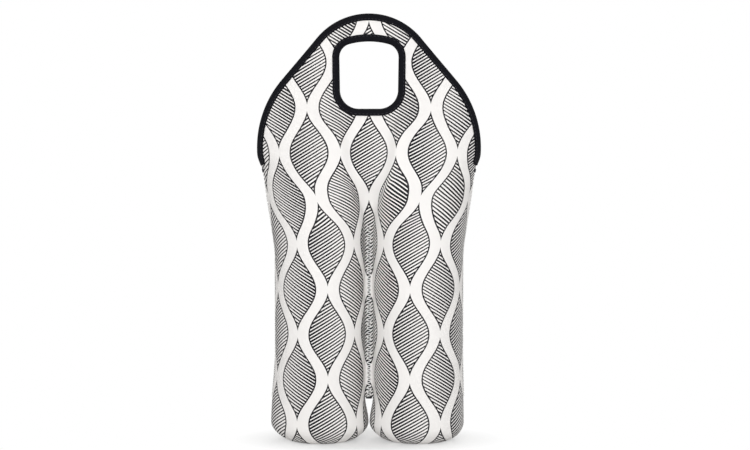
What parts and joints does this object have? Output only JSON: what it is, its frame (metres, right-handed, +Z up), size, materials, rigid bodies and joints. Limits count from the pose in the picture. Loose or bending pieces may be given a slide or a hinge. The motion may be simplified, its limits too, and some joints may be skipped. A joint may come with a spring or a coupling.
{
  "type": "bottle carrier",
  "caption": "Soft neoprene tote with two bottle sleeves sewn side by side and two arched flaps with a bound handle hole.",
  "frame": {"origin": "on the floor, midway between the two feet and between the front and back panels", "axes": "+Z up, +X to the right along the width, the front panel faces -Y"},
  "size_m": [0.2014, 0.084, 0.3837],
  "materials": {
    "printed_neoprene": "knit-faced neoprene, off-white with a fine black line print",
    "black_binding": "black knit binding tape, folded over the cut edge",
    "black_thread": "black sewing thread",
    "seam_thread": "flat seam of black and white thread"
  },
  "bodies": {
    "sleeves": {"front_sleeve_panel": "printed_neoprene", "back_sleeve_panel": "printed_neoprene", "front_centre_seam": "seam_thread", "back_centre_seam": "seam_thread", "left_side_seam": "seam_thread", "right_side_seam": "seam_thread", "left_base_seam": "seam_thread", "right_base_seam": "seam_thread", "left_mouth_tack": "black_thread", "right_mouth_tack": "black_thread", "crotch_bar_tack": "black_thread"},
    "front_flap": {"front_handle_flap": "printed_neoprene", "front_edge_binding": "black_binding", "front_handle_binding": "black_binding", "front_edge_stitching": "black_thread", "front_handle_stitching": "black_thread"},
    "back_flap": {"back_handle_flap": "printed_neoprene", "back_edge_binding": "black_binding", "back_handle_binding": "black_binding", "back_edge_stitching": "black_thread", "back_handle_stitching": "black_thread"}
  },
  "joints": [
    {"name": "front_flap_hinge", "type": "hinge", "parent": "sleeves", "child": "front_flap", "pos_m": [0, -0.0312, 0.24505], "axis": [1, 0, 0], "range_deg": [0, 60], "stiffness_Nm_per_rad": 0.02},
    {"name": "back_flap_hinge", "type": "hinge", "parent": "sleeves", "child": "back_flap", "pos_m": [0, 0.0312, 0.24505], "axis": [-1, 0, 0], "range_deg": [0, 60], "stiffness_Nm_per_rad": 0.02}
  ]
}
